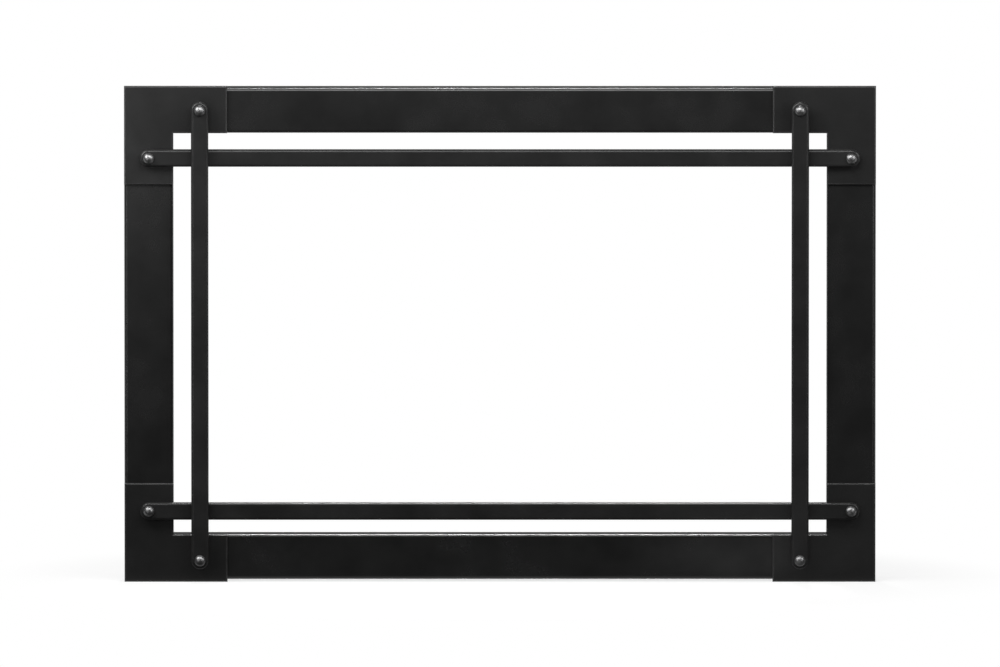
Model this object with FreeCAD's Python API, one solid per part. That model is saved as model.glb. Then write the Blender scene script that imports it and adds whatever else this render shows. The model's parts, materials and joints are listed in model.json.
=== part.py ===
"""Fireplace front: a mitred steel frame with corner plates and crossed bars held by dome-head bolts.

Millimetres. X runs to the right, Z up, and the front faces -Y. The origin is the middle of the four
keyholes, on the plane where the back of the frame meets the fireplace.
"""
import FreeCAD, Part
import math
import os

# Frame rails: channels folded from sheet, open at the back
frame_width = 864.0
frame_height = 568.0
side_rail_width = 56.5
level_rail_width = 52.0
rail_depth = 25.4
rail_sheet = 1.9
rail_inside_bend = 1.9

# Corner plates: each reaches a little past the top or bottom rail, and the lower ones are feet
plate_thickness = 3.2
plate_past_bar = 21.5
plate_past_rail = 2.6
plate_edge_radius = 1.5

# Bars: insets run from the frame's outer edge to a bar's middle line, or to an upright's bolt
bar_width = 20.0
bar_thickness = 9.5
bar_edge_radius = 3.2
upright_inset = 87.0
cross_bar_inset = 80.0
upright_bolt_inset = 24.0

# Dome-head bolts with their nuts, washers and spacers
bolt_shank_diameter = 6.35
bolt_head_diameter = 13.0
bolt_head_height = 5.4
bolt_head_rim = 0.6
bolt_hole_clearance = 0.4
bolt_end_past_nut = 2.0
bolt_end_chamfer = 0.6
nut_across_flats = 11.1
nut_thickness = 5.6
nut_bore_clearance = 0.1
washer_diameter = 16.0
washer_thickness = 1.6
spacer_diameter = 16.0
spacer_edge_radius = 0.5

# Corner gussets inside the channels
gusset_thickness = 3.0
gusset_past_bolt = 20.0
gusset_clearance = 0.4

# Keyhole hangers behind the side rails
hanger_sheet = 2.5
hanger_width = 30.0
hanger_inside_bend = 1.5
hanger_corner_radius = 4.0
hanger_past_washer = 3.0
hanger_web_clearance = 7.0
keyhole_entry_diameter = 11.0
keyhole_slot_width = 6.5
keyhole_slot_rise = 12.0
keyhole_margin = 4.75

# Planes from back to front
back_plane = 0.0
rail_front = back_plane - rail_depth
rail_inside = rail_front + rail_sheet
gusset_back = rail_inside + gusset_thickness
hanger_foot_back = gusset_back + hanger_sheet
hanger_flange_front = back_plane - hanger_sheet
plate_front = rail_front - plate_thickness
cross_bar_front = plate_front - bar_thickness
upright_front = cross_bar_front - bar_thickness

# Places in the front view
half_width = frame_width / 2
half_height = frame_height / 2
rail_inner_x = half_width - side_rail_width
rail_inner_z = half_height - level_rail_width
upright_x = half_width - upright_inset
cross_bar_z = half_height - cross_bar_inset
cross_bolt_x = half_width - side_rail_width / 2
upright_bolt_z = half_height - upright_bolt_inset

# Places on a hanger, measured from its bolt towards the middle of the side rail
hanger_foot_end = -(washer_diameter / 2 + hanger_past_washer)
hanger_web_near = washer_diameter / 2 + hanger_web_clearance
hanger_web_far = hanger_web_near + hanger_sheet
keyhole_reach = keyhole_slot_rise + keyhole_slot_width / 2 + keyhole_margin
keyhole_entry = hanger_web_far + hanger_inside_bend + keyhole_reach
hanger_flange_end = keyhole_entry + keyhole_reach

SIDES = {"left": -1, "right": 1}
LEVELS = {"top": 1, "bottom": -1}
CORNERS = [(level, side) for level in LEVELS for side in SIDES]
BACKWARD = FreeCAD.Vector(0, 1, 0)
NEAR = 1e-6


def point(x, y, z):
    return FreeCAD.Vector(x, y, z)


def line(start, end):
    return Part.LineSegment(start, end).toShape()


def arc(start, middle, end):
    return Part.Arc(start, middle, end).toShape()


def cylinder(x, z, diameter, y_from, y_to):
    """A round rod along Y."""
    return Part.makeCylinder(diameter / 2, y_to - y_from, point(x, y_from, z), BACKWARD)


def flat_solid(outline, y_from, y_to):
    """A plate with corners at the (x, z) points of an outline."""
    corners = [point(x, y_from, z) for x, z in outline]
    face = Part.Face(Part.makePolygon(corners + corners[:1]))
    return face.extrude(point(0, y_to - y_from, 0))


def turned_solid(edges, x, z):
    """A closed profile, drawn beside the Y axis, turned about that axis and set at (x, z)."""
    face = Part.Face(Part.Wire(edges))
    return face.revolve(point(0, 0, 0), BACKWARD, 360).translated(point(x, 0, z))


def edges_at(shape, y):
    """The edges that lie wholly in one plane across Y."""
    return [e for e in shape.Edges if e.BoundBox.YLength < NEAR and abs(e.BoundBox.YMin - y) < NEAR]


def bolt_hole(x, z):
    """A clearance hole through the whole depth of the front."""
    return cylinder(x, z, bolt_shank_diameter + bolt_hole_clearance, upright_front, back_plane)


def corner_bolts(level, side):
    """The (x, z) places of a corner's two bolts: the cross bar's, then the upright's."""
    across, up = SIDES[side], LEVELS[level]
    return (across * cross_bolt_x, up * cross_bar_z), (across * upright_x, up * upright_bolt_z)


def channel_face(place, width):
    """A channel's section. place(u, y) puts a point that lies u in from the rail's outer edge."""
    outside_bend = rail_inside_bend + rail_sheet
    near, far = outside_bend, width - outside_bend
    turn = rail_front + outside_bend

    def bend(u, outward, radius):
        """A quarter circle about (u, turn), from the rail's side to its front, or back again."""
        diagonal = radius * math.sqrt(0.5)
        side = place(u + outward * radius, turn)
        front = place(u, turn - radius)
        return arc(side, place(u + outward * diagonal, turn - diagonal), front)

    def run(start, end):
        return line(place(*start), place(*end))

    return Part.Face(Part.Wire([
        run((0, back_plane), (0, turn)),
        bend(near, -1, outside_bend),
        run((near, rail_front), (far, rail_front)),
        bend(far, 1, outside_bend),
        run((width, turn), (width, back_plane)),
        run((width, back_plane), (width - rail_sheet, back_plane)),
        run((width - rail_sheet, back_plane), (width - rail_sheet, turn)),
        bend(far, 1, rail_inside_bend),
        run((far, rail_inside), (near, rail_inside)),
        bend(near, -1, rail_inside_bend),
        run((rail_sheet, turn), (rail_sheet, back_plane)),
        run((rail_sheet, back_plane), (0, back_plane)),
    ]))


def level_rail(level):
    """The top or bottom rail, mitred at both ends."""
    up = LEVELS[level]
    face = channel_face(lambda u, y: point(-half_width, y, up * (half_height - u)), level_rail_width)
    outer_z, inner_z = up * half_height, up * rail_inner_z
    mitred = flat_solid(
        [(-half_width, outer_z), (half_width, outer_z), (rail_inner_x, inner_z), (-rail_inner_x, inner_z)],
        rail_front, back_plane)
    rail = face.extrude(point(frame_width, 0, 0)).common(mitred)
    return rail.cut([bolt_hole(*corner_bolts(level, side)[1]) for side in SIDES])


def side_rail(side):
    """The left or right rail, mitred at both ends."""
    across = SIDES[side]
    face = channel_face(lambda u, y: point(across * (half_width - u), y, -half_height), side_rail_width)
    outer_x, inner_x = across * half_width, across * rail_inner_x
    mitred = flat_solid(
        [(outer_x, -half_height), (outer_x, half_height), (inner_x, rail_inner_z), (inner_x, -rail_inner_z)],
        rail_front, back_plane)
    rail = face.extrude(point(0, 0, frame_height)).common(mitred)
    return rail.cut([bolt_hole(*corner_bolts(level, side)[0]) for level in LEVELS])


def corner_angle(level, side, outer, inner, ends, y_from, y_to):
    """An L-shaped plate. outer, inner and ends are (x, z) distances from the middle of the frame."""
    across, up = SIDES[side], LEVELS[level]
    outline = [
        outer, (ends[0], outer[1]), (ends[0], inner[1]), inner, (inner[0], ends[1]), (outer[0], ends[1])]
    angle = flat_solid([(across * x, up * z) for x, z in outline], y_from, y_to)
    return angle.cut([bolt_hole(*place) for place in corner_bolts(level, side)])


def corner_plate(level, side):
    """A plate over a mitre, flush with the side rail and a little past the top or bottom rail."""
    past_middle = bar_width / 2 + plate_past_bar
    plate = corner_angle(
        level, side, outer=(half_width, half_height + plate_past_rail), inner=(rail_inner_x, rail_inner_z),
        ends=(upright_x - past_middle, cross_bar_z - past_middle), y_from=plate_front, y_to=rail_front)
    outline = [e for e in edges_at(plate, plate_front) if e.Curve.TypeId == "Part::GeomLine"]
    return plate.makeFillet(plate_edge_radius, outline)


def corner_gusset(level, side):
    """An angle inside the channels that keys two rails together behind their mitre."""
    margin = rail_sheet + rail_inside_bend + gusset_clearance
    return corner_angle(
        level, side, outer=(half_width - margin, half_height - margin),
        inner=(rail_inner_x + margin, rail_inner_z + margin),
        ends=(upright_x - gusset_past_bolt, cross_bar_z - gusset_past_bolt),
        y_from=rail_inside, y_to=gusset_back)


def bar(start, end, y_front):
    """A flat bar with round ends about its two bolts, and eased edges."""
    (x0, z0), (x1, z1) = start, end
    length = math.hypot(x1 - x0, z1 - z0)
    along = ((x1 - x0) / length, (z1 - z0) / length)
    reach = bar_width / 2

    def spot(bolt_place, ahead, aside):
        """A point on the front face, ahead along the bar and aside from its middle line."""
        x = bolt_place[0] + ahead * along[0] - aside * along[1]
        z = bolt_place[1] + ahead * along[1] + aside * along[0]
        return point(x, y_front, z)

    outline = Part.Wire([
        line(spot(start, 0, reach), spot(end, 0, reach)),
        arc(spot(end, 0, reach), spot(end, reach, 0), spot(end, 0, -reach)),
        line(spot(end, 0, -reach), spot(start, 0, -reach)),
        arc(spot(start, 0, -reach), spot(start, -reach, 0), spot(start, 0, reach)),
    ])
    solid = Part.Face(outline).extrude(point(0, bar_thickness, 0))
    rims = edges_at(solid, y_front) + edges_at(solid, y_front + bar_thickness)
    return solid.makeFillet(bar_edge_radius, rims).cut([bolt_hole(*start), bolt_hole(*end)])


def bolt(x, z, seat, nut_seat):
    """A dome-head bolt whose head sits at seat and whose nut starts at nut_seat."""
    head = bolt_head_diameter / 2
    shank = bolt_shank_diameter / 2
    dome = bolt_head_height - bolt_head_rim
    dome_radius = (head ** 2 + dome ** 2) / (2 * dome)
    half_angle = math.asin(head / dome_radius) / 2
    rim = seat - bolt_head_rim
    top = seat - bolt_head_height
    end = nut_seat + nut_thickness + bolt_end_past_nut
    middle = point(dome_radius * math.sin(half_angle), top + dome_radius * (1 - math.cos(half_angle)), 0)
    stations = [
        (head, rim), (head, seat), (shank, seat), (shank, end - bolt_end_chamfer),
        (shank - bolt_end_chamfer, end), (0, end), (0, top)]
    corners = [point(radius, y, 0) for radius, y in stations]
    profile = [arc(corners[-1], middle, corners[0])]
    profile += [line(a, b) for a, b in zip(corners, corners[1:])]
    return turned_solid(profile, x, z)


def ring(x, z, diameter, y_from, y_to):
    """A round collar or washer with the bolts' clearance hole."""
    return cylinder(x, z, diameter, y_from, y_to).cut(bolt_hole(x, z))


def spacer(x, z):
    """A collar between a corner plate and an upright bar."""
    collar = ring(x, z, spacer_diameter, cross_bar_front, plate_front)
    rims = [e for y in (cross_bar_front, plate_front) for e in edges_at(collar, y)]
    outer_rims = [e for e in rims if abs(e.Curve.Radius - spacer_diameter / 2) < NEAR]
    return collar.makeFillet(spacer_edge_radius, outer_rims)


def nut(x, z, seat):
    """A hexagon nut with its corners turned off at both ends."""
    flat_radius = nut_across_flats / 2
    corner_radius = flat_radius / math.cos(math.radians(30))
    turned_off = (corner_radius - flat_radius) * math.tan(math.radians(30))
    end = seat + nut_thickness
    turns = [math.radians(60 * i) for i in range(6)]
    hexagon = flat_solid(
        [(x + corner_radius * math.cos(a), z + corner_radius * math.sin(a)) for a in turns], seat, end)
    stations = [
        (0, seat), (flat_radius, seat), (corner_radius, seat + turned_off),
        (corner_radius, end - turned_off), (flat_radius, end), (0, end), (0, seat)]
    corners = [point(radius, y, 0) for radius, y in stations]
    blank = turned_solid([line(a, b) for a, b in zip(corners, corners[1:])], x, z)
    bore = cylinder(x, z, bolt_shank_diameter + nut_bore_clearance, seat, end)
    return hexagon.common(blank).cut(bore)


def keyhole(x, entry_z):
    """A round entry with a narrow slot that rises from it."""
    slot_end_z = entry_z + keyhole_slot_rise
    half_slot = keyhole_slot_width / 2
    slot = flat_solid(
        [(x - half_slot, entry_z), (x + half_slot, entry_z),
         (x + half_slot, slot_end_z), (x - half_slot, slot_end_z)], hanger_flange_front, back_plane)
    return [
        slot,
        cylinder(x, entry_z, keyhole_entry_diameter, hanger_flange_front, back_plane),
        cylinder(x, slot_end_z, keyhole_slot_width, hanger_flange_front, back_plane)]


def hanger(level, side):
    """A Z-shaped strip: a foot under the cross bar's nut, and a flange with an upright keyhole."""
    (x, z), _ = corner_bolts(level, side)
    inward = -LEVELS[level]
    section = [
        (hanger_foot_end, gusset_back), (hanger_web_far, gusset_back),
        (hanger_web_far, hanger_flange_front), (hanger_flange_end, hanger_flange_front),
        (hanger_flange_end, back_plane), (hanger_web_near, back_plane),
        (hanger_web_near, hanger_foot_back), (hanger_foot_end, hanger_foot_back)]
    corners = [point(x - hanger_width / 2, y, z + inward * t) for t, y in section]
    strip = Part.Face(Part.makePolygon(corners + corners[:1])).extrude(point(hanger_width, 0, 0))

    def fold_edges(*numbers):
        """The strip's edges along X at these corners of its section."""
        ends = [corners[n] for n in numbers]
        return [e for e in strip.Edges if any(e.Vertexes[0].Point.isEqual(p, NEAR) for p in ends)
                and e.BoundBox.XLength > hanger_width - NEAR]

    def free_corners(t):
        """The short edges along Y at one free end of the strip."""
        return [e for e in strip.Edges if abs(e.BoundBox.YLength - hanger_sheet) < NEAR
                and abs(e.BoundBox.Center.z - (z + inward * t)) < NEAR]

    strip = strip.makeFillet(hanger_inside_bend + hanger_sheet, fold_edges(1, 5))
    strip = strip.makeFillet(hanger_inside_bend, fold_edges(2, 6))
    strip = strip.makeFillet(
        hanger_corner_radius, free_corners(hanger_foot_end) + free_corners(hanger_flange_end))
    return strip.cut([bolt_hole(x, z)] + keyhole(x, z + inward * keyhole_entry))


parts = {}
for level in LEVELS:
    parts[f"{level}_rail"] = level_rail(level)
for side in SIDES:
    parts[f"{side}_rail"] = side_rail(side)
for level, side in CORNERS:
    parts[f"{level}_{side}_corner_plate"] = corner_plate(level, side)
    parts[f"{level}_{side}_corner_gusset"] = corner_gusset(level, side)
    parts[f"{level}_{side}_hanger"] = hanger(level, side)

for name, up in (("upper", 1), ("lower", -1)):
    bolts = (-cross_bolt_x, up * cross_bar_z), (cross_bolt_x, up * cross_bar_z)
    parts[f"{name}_cross_bar"] = bar(*bolts, cross_bar_front)
for side, across in SIDES.items():
    bolts = (across * upright_x, -upright_bolt_z), (across * upright_x, upright_bolt_z)
    parts[f"{side}_upright_bar"] = bar(*bolts, upright_front)

cross_bolts = [corner_bolts(*corner)[0] for corner in CORNERS]
upright_bolts = [corner_bolts(*corner)[1] for corner in CORNERS]
washer_seats = [(place, hanger_foot_back) for place in cross_bolts]
washer_seats += [(place, gusset_back) for place in upright_bolts]
fasteners = {
    "cross_bar_bolts": [
        bolt(*place, cross_bar_front, hanger_foot_back + washer_thickness) for place in cross_bolts],
    "upright_bolts": [
        bolt(*place, upright_front, gusset_back + washer_thickness) for place in upright_bolts],
    "upright_spacers": [spacer(*place) for place in upright_bolts],
    "bolt_washers": [
        ring(*place, washer_diameter, seat, seat + washer_thickness) for place, seat in washer_seats],
    "bolt_nuts": [nut(*place, seat + washer_thickness) for place, seat in washer_seats],
}
for name, solids in fasteners.items():
    parts[name] = Part.makeCompound(solids)

os.makedirs("parts", exist_ok=True)
for name, shape in parts.items():
    shape.exportStep(f"parts/{name}.step")
    print(f"{name}: solids {len(shape.Solids)}, {shape.Volume / 1000:.1f} cm3, valid {shape.isValid()}")
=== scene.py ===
# %% [markdown]
# # A black steel fireplace front
# The front is a rectangular frame that stands round a fireplace opening: four folded steel rails, an
# L-shaped plate on each corner, and four flat bars that cross near the corners under dome-headed bolts.
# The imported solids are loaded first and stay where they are. Everything below dresses them: camera,
# studio, finishes and the small round pieces.

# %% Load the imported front
import json
import math

import bmesh
import bpy
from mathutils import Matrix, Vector


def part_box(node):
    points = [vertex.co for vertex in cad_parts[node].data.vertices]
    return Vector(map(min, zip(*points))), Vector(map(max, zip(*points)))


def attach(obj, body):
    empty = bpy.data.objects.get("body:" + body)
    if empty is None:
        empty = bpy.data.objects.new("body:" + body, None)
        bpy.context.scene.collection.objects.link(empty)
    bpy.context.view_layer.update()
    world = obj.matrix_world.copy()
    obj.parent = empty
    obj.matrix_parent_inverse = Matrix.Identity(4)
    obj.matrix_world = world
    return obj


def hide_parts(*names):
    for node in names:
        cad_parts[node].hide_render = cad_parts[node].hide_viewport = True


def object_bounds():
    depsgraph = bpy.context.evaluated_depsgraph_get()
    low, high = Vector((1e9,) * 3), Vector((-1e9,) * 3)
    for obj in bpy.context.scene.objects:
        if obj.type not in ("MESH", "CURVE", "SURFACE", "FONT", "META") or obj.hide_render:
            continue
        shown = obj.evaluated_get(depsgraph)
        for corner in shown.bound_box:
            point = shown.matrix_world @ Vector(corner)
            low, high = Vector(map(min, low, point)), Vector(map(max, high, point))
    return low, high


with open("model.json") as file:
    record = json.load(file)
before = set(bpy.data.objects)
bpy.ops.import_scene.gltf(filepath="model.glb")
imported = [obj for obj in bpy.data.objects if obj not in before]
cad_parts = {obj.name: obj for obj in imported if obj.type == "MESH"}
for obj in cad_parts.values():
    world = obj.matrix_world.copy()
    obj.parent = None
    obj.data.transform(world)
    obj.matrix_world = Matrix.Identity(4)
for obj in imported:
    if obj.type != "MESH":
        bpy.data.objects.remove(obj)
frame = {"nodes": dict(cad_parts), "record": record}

scene = bpy.context.scene
cad_box = [list(corner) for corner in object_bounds()]
print("solids loaded:", len(frame["nodes"]), "box in metres:", cad_box)

# %% [markdown]
# ## Camera
# A flat product like this is photographed from far away with a long lens, so that its sides stay
# parallel. A lens shift could show the upper faces too, but it would move the picture from every other
# side as well, so the camera stands above the middle and looks slightly down. The lens follows from how
# many metres the picture spans at the front.

# %% Camera
view_distance = 34.0
view_elevation = math.radians(6.0)
picture_span = 1.1497
aim = Vector((0, -0.0286, 0.0008))
camera_data = bpy.data.cameras.new("front_camera")
camera_data.lens = camera_data.sensor_width * view_distance / picture_span
camera = bpy.data.objects.new("front_camera", camera_data)
towards_camera = Vector((0, -math.cos(view_elevation), math.sin(view_elevation)))
camera.location = aim + view_distance * towards_camera
camera.rotation_euler = towards_camera.to_track_quat("Z", "Y").to_euler()
scene.collection.objects.link(camera)
scene.camera = camera
print("lens in mm:", round(camera_data.lens, 1))

# %% [markdown]
# ## Small helpers for node trees
# The studio and the finishes are all node trees. Three helpers keep them short. The first adds a node and
# fills its inputs, each with a number, a colour or another node's output. The other two are built on it:
# the larger of two values, and a value that changes smoothly from one level to another.

# %% Node helpers
def add_node(tree, kind, inputs, **settings):
    """A node with its settings by name, and its inputs set to values or linked to outputs."""
    node = tree.nodes.new(kind)
    for name, value in settings.items():
        setattr(node, name, value)
    for socket, value in inputs.items():
        if isinstance(value, bpy.types.NodeSocket):
            tree.links.new(value, node.inputs[socket])
        else:
            node.inputs[socket].default_value = value
    return node


def larger(tree, first, second):
    """The larger of two values."""
    return add_node(tree, "ShaderNodeMath", {0: first, 1: second}, operation="MAXIMUM").outputs[0]


def smooth_change(tree, value, start, end, low, high):
    """Low where the value is at most start, high from end on, and smooth between them."""
    ramp = {"Value": value, "From Min": start, "From Max": end, "To Min": low, "To Max": high}
    return add_node(tree, "ShaderNodeMapRange", ramp, interpolation_type="SMOOTHSTEP").outputs["Result"]


print("node helpers ready")

# %% [markdown]
# ## Studio: world
# To the camera the world is plain white. A black satin face that mirrored a white room would look grey, so
# what the steel mirrors is a dim studio, a little lighter straight behind the front. The even light on
# everything else is weak, so that the lamps shape the steel. Light Path tells these rays apart.

# %% World
even_strength = 0.1
dim_level, behind_level = 0.06, 0.16
behind_start, behind_end = 0.8, 0.97
scene.view_settings.view_transform = "Standard"
world = bpy.data.worlds.new("white_studio")
scene.world = world
world.use_nodes = True
tree = world.node_tree
tree.nodes.clear()
rays = add_node(tree, "ShaderNodeLightPath", {}).outputs
direction = add_node(tree, "ShaderNodeTexCoord", {}).outputs["Generated"]
behind = add_node(tree, "ShaderNodeSeparateXYZ", {0: direction}).outputs["Y"]
dim_studio = smooth_change(tree, behind, behind_start, behind_end, dim_level, behind_level)
shown = larger(tree, dim_studio, rays["Is Camera Ray"])
backdrop = add_node(tree, "ShaderNodeBackground", {"Color": shown})
even_light = add_node(tree, "ShaderNodeBackground", {"Strength": even_strength})
camera_or_shine = larger(tree, rays["Is Camera Ray"], rays["Is Glossy Ray"])
sees_backdrop = larger(tree, camera_or_shine, rays["Is Transmission Ray"])
both = {"Fac": sees_backdrop, 1: even_light.outputs[0], 2: backdrop.outputs[0]}
mix = add_node(tree, "ShaderNodeMixShader", both)
add_node(tree, "ShaderNodeOutputWorld", {"Surface": mix.outputs[0]})
print("world:", world.name, "with", len(tree.nodes), "nodes")

# %% [markdown]
# ## Studio: floor
# The front stands on a pale floor. A backdrop that curves up behind it would do as well, but one flat
# plane is enough: close to the feet it takes the front's shadow, and further out its paint fades to the
# white of the background, so that no horizon shows.

# %% Floor plane
floor_level = cad_box[0][2]
floor_reach = 60
floor_mesh = bpy.data.meshes.new("floor")
shape = bmesh.new()
bmesh.ops.create_grid(shape, x_segments=1, y_segments=1, size=floor_reach)
bmesh.ops.translate(shape, verts=shape.verts, vec=(0, 0, floor_level))
shape.to_mesh(floor_mesh)
shape.free()
floor = bpy.data.objects.new("floor", floor_mesh)
scene.collection.objects.link(floor)
print("floor height in metres:", round(floor_level, 4))

# %% [markdown]
# ## Studio: what the floor shows
# The floor's paint is matt, and a white light is mixed over it by kind of ray. The camera sees the light
# fade in round the shadow. In the steel's shine the floor is dark before the front and white behind it,
# with one pool of light at the right that the lower right plate mirrors. Light that bounces off the floor
# onto the steel comes from a darker grey, or the lower faces would turn pale.

# %% Masks on the floor
floor_paint = bpy.data.materials.new("pale_floor")
floor_paint.use_nodes = True
tree = floor_paint.node_tree
rays = add_node(tree, "ShaderNodeLightPath", {}).outputs
place = add_node(tree, "ShaderNodeTexCoord", {}).outputs["Object"]


def ellipse_distance(centre, half_size):
    """The distance from a point on the floor, as 1 on the ellipse of this half size."""
    fit = {"Vector": place, "Location": (*centre, floor_level), "Scale": (*half_size, 1)}
    squeezed = add_node(tree, "ShaderNodeMapping", fit, vector_type="TEXTURE").outputs[0]
    return add_node(tree, "ShaderNodeVectorMath", {0: squeezed}, operation="LENGTH").outputs["Value"]


shadow_size, shadow_start, shadow_end, shadow_veil = (0.45, 0.3), 0.9, 1.4, 0.75
pool_place, pool_size, pool_level = (0.29, -0.25), (0.18, 0.3), 0.7
dark_until, white_from, dark_level = -0.055, -0.015, 0.05
from_shadow = ellipse_distance((0, 0), shadow_size)
from_pool = ellipse_distance(pool_place, pool_size)
depth = add_node(tree, "ShaderNodeSeparateXYZ", {0: place}).outputs["Y"]
veil = smooth_change(tree, from_shadow, shadow_start, shadow_end, shadow_veil, 1)
light_pool = smooth_change(tree, from_pool, 0, 1, pool_level, 0)
white_behind = smooth_change(tree, depth, dark_until, white_from, dark_level, 1)
print("floor shadow in metres:", [2 * reach for reach in shadow_size])

# %% Floor paint
matt_tone, bounce_tone = (0.9, 0.9, 0.9, 1), (0.2, 0.2, 0.2, 1)
matt = tree.nodes["Principled BSDF"]
matt.inputs["Base Color"].default_value = matt_tone
matt.inputs["Roughness"].default_value = 0.9
matt.inputs["Specular IOR Level"].default_value = 0.1
shown = larger(tree, larger(tree, white_behind, light_pool), rays["Is Camera Ray"])
white = add_node(tree, "ShaderNodeEmission", {"Color": shown})
seen_by_camera = add_node(
    tree, "ShaderNodeMath", {0: veil, 1: rays["Is Camera Ray"]}, operation="MULTIPLY").outputs[0]
seen_in_shine = larger(tree, rays["Is Glossy Ray"], rays["Is Transmission Ray"])
seen = larger(tree, seen_by_camera, seen_in_shine)
lit = add_node(tree, "ShaderNodeMixShader", {"Fac": seen, 1: matt.outputs[0], 2: white.outputs[0]})
bounce = add_node(tree, "ShaderNodeBsdfDiffuse", {"Color": bounce_tone})
both = {"Fac": rays["Is Diffuse Ray"], 1: lit.outputs[0], 2: bounce.outputs[0]}
paint = add_node(tree, "ShaderNodeMixShader", both)
tree.links.new(paint.outputs[0], tree.nodes["Material Output"].inputs["Surface"])
floor_mesh.materials.append(floor_paint)
print("floor paint:", floor_paint.name, "with", len(tree.nodes), "nodes")

# %% [markdown]
# ## Studio: softboxes
# Black satin steel shows its lamps more than its own colour, so each lamp is there for a line or a spot
# that it draws. Two overhead boxes with narrow beams draw the long bright lines: the wide one on the lower
# rail and the lower bar, the small one on the top rail. The wide front box lights the faces, the domes
# and the bars' upper edges. The side boxes put the outer spots on the domes, and the left one is stronger,
# because the front is brightest at its upper left. The tall strips draw thin lines along the upright
# edges, and the glow lightens the upper part of the left rail.

# %% Softboxes
# Places, aims and sizes are in metres, power is in watts and spread, the beam's angle, in degrees.
middle, open_beam = (0, 0, 0), 180
softboxes = {
    "overhead_softbox": dict(
        place=(0, 0.42, 1.1), aim=(0, -0.02, -0.23), size=(0.7, 0.25), power=0.85, spread=17),
    "top_rail_softbox": dict(
        place=(0, 0.42, 1.1), aim=(0, -0.025, 0.284), size=(0.4, 0.25), power=0.07, spread=18),
    "front_softbox": dict(place=(0, -0.62, 0.78), size=(1.0, 0.4), power=10),
    "left_softbox": dict(place=(-0.95, -0.42, 0.75), size=(0.35, 0.6), power=9),
    "right_softbox": dict(place=(1.2, -0.6, 0.6), size=(0.3, 0.6), power=5),
    "left_strip": dict(place=(-1.1, -1.15, 0.2), size=(0.2, 1.4), power=4),
    "right_strip": dict(place=(1.1, -1.15, 0.2), size=(0.2, 1.4), power=3.2),
    "left_glow": dict(place=(-0.5, -0.7, 0.13), aim=(-0.43, 0, 0.18), size=(0.1, 0.16), power=0.08),
}
for name, box in softboxes.items():
    lamp_data = bpy.data.lights.new(name, "AREA")
    lamp_data.shape = "RECTANGLE"
    lamp_data.size, lamp_data.size_y = box["size"]
    lamp_data.energy = box["power"]
    lamp_data.spread = math.radians(box.get("spread", open_beam))
    lamp = bpy.data.objects.new(name, lamp_data)
    lamp.location = box["place"]
    away = Vector(box["place"]) - Vector(box.get("aim", middle))
    lamp.rotation_euler = away.to_track_quat("Z", "Y").to_euler()
    lamp.visible_camera = False
    scene.collection.objects.link(lamp)
    print(name, "power in watts:", box["power"])

# %% [markdown]
# ## Shared effect: skin
# A coat is never quite flat or even. Powder melts into a soft orange peel a few millimetres across, with
# a finer grain on it, and its tone has cloudy patches a few centimetres across. Every finish here needs
# this, so it is a node group with named inputs, built once. Three noises make it, at three scales.

# %% Group helper
def new_group(name, inputs, outputs):
    """A shader node group with number sockets: the inputs carry their usual values."""
    group = bpy.data.node_groups.new(name, "ShaderNodeTree")
    for socket, value in inputs.items():
        made = group.interface.new_socket(socket, in_out="INPUT", socket_type="NodeSocketFloat")
        made.default_value = value
    for socket in outputs:
        group.interface.new_socket(socket, in_out="OUTPUT", socket_type="NodeSocketFloat")
    print("node group:", name, "with inputs", list(inputs), "and outputs", outputs)
    return group, group.nodes.new("NodeGroupInput").outputs, group.nodes.new("NodeGroupOutput").inputs


# %% Skin group
skin_scales = {"Peel Scale": 330, "Grain Scale": 1700, "Cloud Scale": 22}
noise_detail = {"Peel": 2, "Grain": 1, "Cloud": 4}
grain_share = 0.3
cloud_start, cloud_end = 0.3, 0.7
skin, given, made = new_group("skin", skin_scales, ["Relief", "Cloud"])
place = add_node(skin, "ShaderNodeTexCoord", {}).outputs["Object"]
noise = {}
for part, detail in noise_detail.items():
    texture = {"Vector": place, "Scale": given[f"{part} Scale"], "Detail": detail}
    noise[part] = add_node(skin, "ShaderNodeTexNoise", texture).outputs["Fac"]
grain_on_peel = {0: noise["Grain"], 1: grain_share, 2: noise["Peel"]}
relief = add_node(skin, "ShaderNodeMath", grain_on_peel, operation="MULTIPLY_ADD")
contrast = {"Value": noise["Cloud"], "From Min": cloud_start, "From Max": cloud_end}
cloud = add_node(skin, "ShaderNodeMapRange", contrast)
skin.links.new(relief.outputs[0], made["Relief"])
skin.links.new(cloud.outputs["Result"], made["Cloud"])

# %% [markdown]
# ## Shared effect: rubbed edges and painted edge highlight
# On an edge a coat is thinner, and hands, cloths and packing polish it. The same edge mask also lays a
# painted highlight along the edges, lightest on the plates, in place of the light that their edges catch.
# The Bevel node gives the normal that the surface would have with softer edges. Where that differs from the
# true normal there is an edge, also one that is already slightly round. A noise breaks the mask into
# patches, so that it doesn't look like a drawn line.

# %% Edge wear and painted highlight group
same_way, turned_away = 0.995, 0.93
patch_detail, bevel_samples = 3, 6
wear_and_highlight_group, given, made = new_group("edge_wear_and_painted_highlight", {"Width": 0.0012, "Patch Scale": 60}, ["Rub"])
bevel = add_node(wear_and_highlight_group, "ShaderNodeBevel", {"Radius": given["Width"]}, samples=bevel_samples)
true_normal = add_node(wear_and_highlight_group, "ShaderNodeNewGeometry", {}).outputs["Normal"]
normals = {0: bevel.outputs["Normal"], 1: true_normal}
agreement = add_node(wear_and_highlight_group, "ShaderNodeVectorMath", normals, operation="DOT_PRODUCT")
turn = {"Value": agreement.outputs["Value"], "From Min": same_way, "From Max": turned_away}
edge = add_node(wear_and_highlight_group, "ShaderNodeMapRange", turn).outputs["Result"]
place = add_node(wear_and_highlight_group, "ShaderNodeTexCoord", {}).outputs["Object"]
texture = {"Vector": place, "Scale": given["Patch Scale"], "Detail": patch_detail}
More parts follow.
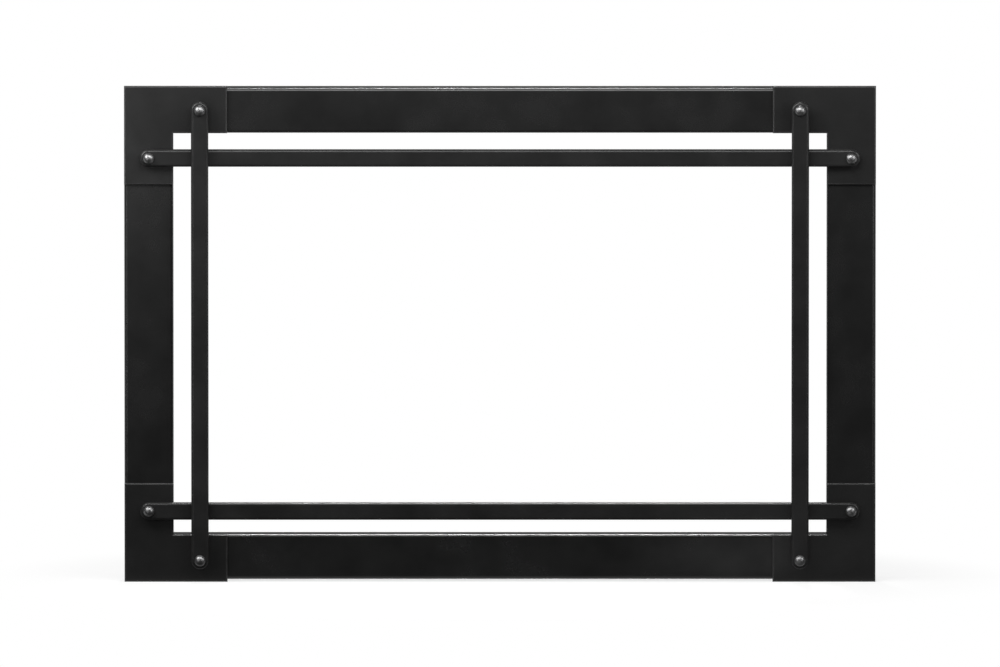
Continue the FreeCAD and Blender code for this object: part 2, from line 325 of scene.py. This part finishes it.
patches = add_node(wear_and_highlight_group, "ShaderNodeTexNoise", texture).outputs["Fac"]
edge_wear_and_highlight = add_node(wear_and_highlight_group, "ShaderNodeMath", {0: edge, 1: patches}, operation="MULTIPLY")
wear_and_highlight_group.links.new(edge_wear_and_highlight.outputs[0], made["Rub"])

# %% [markdown]
# ## Finish recipe
# All the metal here follows one recipe: a dark and a light tone that the clouds blend, an edge tone, part
# wear and part painted highlight, that the edge mask lays over them, a roughness that falls where the clouds
# are light, and a depth of relief. One function makes the material from those numbers. What stays the same
# all over the surface, such as Metallic, is set straight on the shader.

# %% Finish recipe
def grey(value, cool=0.0):
    """A neutral colour, or one with a little more blue."""
    return (value, value, value + cool, 1)


def finish(name, tones, edge_wear_and_highlight_tone, roughness, relief_depth, edge_band_width, scales=skin_scales, **constants):
    """A material from the shared skin and edge mask of wear and painted highlight, with the shader's
    constant inputs set by name.
    """
    material = bpy.data.materials.new(name)
    material.use_nodes = True
    tree = material.node_tree
    shader = tree.nodes["Principled BSDF"]
    for socket, value in constants.items():
        shader.inputs[socket.replace("_", " ")].default_value = value
    coat = add_node(tree, "ShaderNodeGroup", scales, node_tree=skin).outputs
    edge_wear_and_highlight = add_node(tree, "ShaderNodeGroup", {"Width": edge_band_width}, node_tree=wear_and_highlight_group).outputs["Rub"]
    clouds = {"Factor": coat["Cloud"], "A": tones[0], "B": tones[1]}
    tone = add_node(tree, "ShaderNodeMix", clouds, data_type="RGBA").outputs["Result"]
    edges = {"Factor": edge_wear_and_highlight, "A": tone, "B": edge_wear_and_highlight_tone}
    edged = add_node(tree, "ShaderNodeMix", edges, data_type="RGBA").outputs["Result"]
    span = {"Value": coat["Cloud"], "To Min": roughness[1], "To Max": roughness[0]}
    gloss = add_node(tree, "ShaderNodeMapRange", span).outputs["Result"]
    bump = add_node(tree, "ShaderNodeBump", {"Distance": relief_depth, "Height": coat["Relief"]})
    tree.links.new(edged, shader.inputs["Base Color"])
    tree.links.new(gloss, shader.inputs["Roughness"])
    tree.links.new(bump.outputs["Normal"], shader.inputs["Normal"])
    print("finish:", name, "with roughness", roughness)
    return material


# %% [markdown]
# ## Black coats
# Rails, plates and bars are all powder coated black, but they don't look alike. The bars have the dullest
# coat. The rails' coat is darker and so smooth that a lamp draws one long line on their folded edges. The
# plates are cut from flat steel: their edges carry the lightest edge tone, a painted highlight, and their
# orange peel is deepest.

# %% Black coats
bar_coat = finish(
    "satin_black_powder_coat", (grey(0.0083), grey(0.0173)), grey(0.02), (0.32, 0.4),
    relief_depth=0.00004, edge_band_width=0.0008, Specular_IOR_Level=0.3)
# The plates' edge tone, far lighter than their coat, is a painted highlight along their cut edges.
plate_coat = finish(
    "black_plate_coat_painted_edge_highlight", (grey(0.0078), grey(0.0162)), grey(0.14), (0.28, 0.36),
    relief_depth=0.00007, edge_band_width=0.0024, Specular_IOR_Level=0.45)
rail_coat = finish(
    "satin_black_rail_coat", (grey(0.0058), grey(0.0132)), grey(0.018), (0.26, 0.32),
    relief_depth=0.000008, edge_band_width=0.0008, Specular_IOR_Level=0.45)

# %% [markdown]
# ## Blackened and plated metal
# The bolts are blackened steel: a metal, much lighter than the paint, so that their domes catch the lamps.
# Nuts, washers and hangers are zinc plated, with the small cool patches that plating leaves. Both use the
# same recipe with Metallic set to 1 and finer scales.

# %% Bolt and zinc finishes
bolt_scales = {"Peel Scale": 500, "Grain Scale": 2600, "Cloud Scale": 160}
zinc_scales = {"Peel Scale": 420, "Grain Scale": 2600, "Cloud Scale": 120}
bolt_black = finish(
    "satin_black_oxide", (grey(0.19), grey(0.23, 0.002)), grey(0.28), (0.37, 0.43),
    relief_depth=0.000004, edge_band_width=0.0006, scales=bolt_scales, Metallic=1.0)
zinc_plate = finish(
    "bright_zinc_plate", (grey(0.42, 0.01), grey(0.56, 0.02)), grey(0.68, 0.01), (0.26, 0.42),
    relief_depth=0.00002, edge_band_width=0.0008, scales=zinc_scales, Metallic=1.0)

# %% [markdown]
# ## Dress the solids
# The rails, plates, bars, gussets, spacers, hangers and nuts already have their true shape, so they stay
# as they are and only take a finish. The record says which material slot each piece belongs to. Rails and
# plates share the slot of the bars, and are told apart by name.

# %% Finish on the solids
finish_of_slot = {"black_paint": bar_coat, "black_bolt": bolt_black, "zinc_plate": zinc_plate}
for row in frame["record"]["subparts"]:
    node = row["node"]
    coat = finish_of_slot[row["material_slot"]]
    if node.endswith("_rail"):
        coat = rail_coat
    elif node.endswith("_corner_plate"):
        coat = plate_coat
    for slot in frame["nodes"][node].material_slots:
        slot.material = coat
print("solids dressed:", len(frame["nodes"]))

# %% [markdown]
# ## Dome-headed bolts: profile
# Each bar end is held by a bolt with a smooth dome. A flattened sphere on a cylinder would come close, but
# a dome shows every facet and seam in its highlight. So the bolt is made as on a lathe: one point is spun
# into the dome's arc, the rest of the outline is extruded from the arc's end, and the whole outline is
# spun round the bolt's axis.

# %% Bolt profile
head_radius, head_rim, dome_height = 0.0065, 0.0006, 0.0048
shank_radius, thread_depth, thread_length = 0.003175, 0.00065, 0.0095
rim_bevel_width, rim_bevel_height = 0.00025, 0.0003
tip_bevel_width, tip_bevel_height = 0.0003, 0.0002
root_radius = shank_radius - thread_depth
dome_steps, round_steps = 14, 48
merge_distance = 1e-6
origin, bolt_axis = (0, 0, 0), (0, 1, 0)


def spin_round(shape):
    """Spins an outline a full turn round the Y axis, and merges its poles."""
    outline = shape.verts[:] + shape.edges[:]
    bmesh.ops.spin(
        shape, geom=outline, cent=origin, axis=bolt_axis, angle=math.tau, steps=round_steps,
        use_merge=True)
    bmesh.ops.remove_doubles(shape, verts=shape.verts, dist=merge_distance)


def turned_bolt(top, end):
    """A bolt along Y with its dome at top and its tip at end, cut down to the thread's root."""
    seat = top + head_rim + dome_height
    dome_radius = (head_radius ** 2 + dome_height ** 2) / (2 * dome_height)
    thread_start = end - thread_length
    shape = bmesh.new()
    apex = shape.verts.new((0, top, 0))
    bmesh.ops.spin(
        shape, geom=[apex], cent=(0, top + dome_radius, 0), axis=(0, 0, 1),
        angle=math.asin(head_radius / dome_radius), steps=dome_steps, use_merge=False)
    last = max(shape.verts, key=lambda point: point.co.x)
    for radius, along in (
            (head_radius, seat - rim_bevel_height), (head_radius - rim_bevel_width, seat),
            (shank_radius, seat), (shank_radius, thread_start),
            (root_radius, thread_start + thread_depth), (root_radius, end - tip_bevel_height),
            (root_radius - tip_bevel_width, end), (0, end)):
        last = bmesh.ops.extrude_vert_indiv(shape, verts=[last])["verts"][0]
        last.co = (radius, along, 0)
    spin_round(shape)
    return shape


print("dome in millimetres:", 2000 * head_radius, "wide,", 1000 * dome_height, "high")

# %% [markdown]
# ## Dome-headed bolts: thread
# The thread shows from behind, where the bolt comes through its nut. A bump could fake it, but its outline
# would stay straight. A small triangle is spun round the axis instead, and climbs one pitch with each
# turn, as a lathe tool does.

# %% Bolt thread
thread_pitch, thread_sunk, steps_per_turn = 0.00127, 0.0001, 24


def add_thread(shape, start):
    """Winds the thread's ridge round the bolt, slightly sunk into it, and turns all faces outwards."""
    foot = root_radius - thread_sunk
    ridge = [shape.verts.new((radius, start + along, 0)) for radius, along in (
        (foot, thread_sunk), (shank_radius, thread_pitch / 2), (foot, thread_pitch - thread_sunk))]
    section = shape.faces.new(ridge)
    turns = math.floor((thread_length - thread_pitch) / thread_pitch)
    bmesh.ops.spin(
        shape, geom=[section], cent=origin, axis=bolt_axis, dvec=(0, thread_pitch / steps_per_turn, 0),
        angle=turns * math.tau, steps=steps_per_turn * turns, use_merge=False)
    bmesh.ops.recalc_face_normals(shape, faces=shape.faces)


print("thread pitch in millimetres:", 1000 * thread_pitch)

# %% [markdown]
# ## Dome-headed bolts: places
# Four bolts hold the cross bars and four the uprights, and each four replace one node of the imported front.
# One bolt is made for each four and copied to the corners inside the same mesh, so that the piece itself
# stays at the origin. The places come from the box of the node that it replaces.

# %% Piece helpers
sharp_angle = math.radians(35)


def add_piece(name, shape, material, node):
    """A finished piece that rides on the front in place of a solid."""
    mesh = bpy.data.meshes.new(name)
    shape.to_mesh(mesh)
    shape.free()
    mesh.materials.append(material)
    mesh.shade_smooth()
    mesh.set_sharp_from_angle(angle=sharp_angle)
    piece = bpy.data.objects.new(name, mesh)
    scene.collection.objects.link(piece)
    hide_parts(node)
    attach(piece, "root")
    print(name, "faces:", len(mesh.polygons))


def corner_places(x, y, z):
    """The same place in all four corners."""
    return [Vector((across * x, y, up * z)) for across in (-1, 1) for up in (-1, 1)]


def points_of(geometry):
    """The vertices among some geometry."""
    return [item for item in geometry if isinstance(item, bmesh.types.BMVert)]


def repeat_at(shape, places):
    """A copy of the shape at every place but the first, where the shape itself goes."""
    first = shape.verts[:] + shape.edges[:] + shape.faces[:]
    for place in places[1:]:
        copy = bmesh.ops.duplicate(shape, geom=first)["geom"]
        bmesh.ops.translate(shape, verts=points_of(copy), vec=place)
    bmesh.ops.translate(shape, verts=points_of(first), vec=places[0])


# %% Place the bolts
bolt_x, bolt_z = {}, {}
for node in ("cross_bar_bolts", "upright_bolts"):
    low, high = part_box(node)
    bolt_x[node], bolt_z[node] = high.x - head_radius, high.z - head_radius
    shape = turned_bolt(low.y, high.y)
    add_thread(shape, high.y - thread_length)
    repeat_at(shape, corner_places(bolt_x[node], 0, bolt_z[node]))
    add_piece(f"dome_{node}", shape, bolt_black, node)

# %% [markdown]
# ## Washers
# A washer lies under each nut. Washers are punched from strip and tumbled, which leaves their edges
# slightly round. A cylinder with a hole cut in it could be bevelled, but it is simpler to round the small
# section: one flat rectangle is bevelled at its corners, and its outline is spun into the ring.

# %% Washers
washer_radius, washer_hole, washer_height = 0.008, 0.003375, 0.0016
washer_round, round_segments, half_unit = 0.0003, 3, 0.5
ring_width, ring_middle = washer_radius - washer_hole, (washer_radius + washer_hole) / 2
shape = bmesh.new()
section = bmesh.ops.create_grid(shape, x_segments=1, y_segments=1, size=half_unit)["verts"]
bmesh.ops.scale(shape, verts=section, vec=(ring_width, washer_height, 1))
bmesh.ops.translate(shape, verts=section, vec=(ring_middle, washer_height / 2, 0))
bmesh.ops.bevel(
    shape, geom=shape.verts[:], offset=washer_round, segments=round_segments, profile=0.5,
    affect="VERTICES", material=-1)
bmesh.ops.delete(shape, geom=shape.faces[:], context="FACES_ONLY")
spin_round(shape)
bmesh.ops.recalc_face_normals(shape, faces=shape.faces)
low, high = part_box("bolt_washers")
places = []
for node, seat in (("cross_bar_bolts", high.y - washer_height), ("upright_bolts", low.y)):
    places += corner_places(bolt_x[node], seat, bolt_z[node])
repeat_at(shape, places)
add_piece("tumbled_washers", shape, zinc_plate, "bolt_washers")
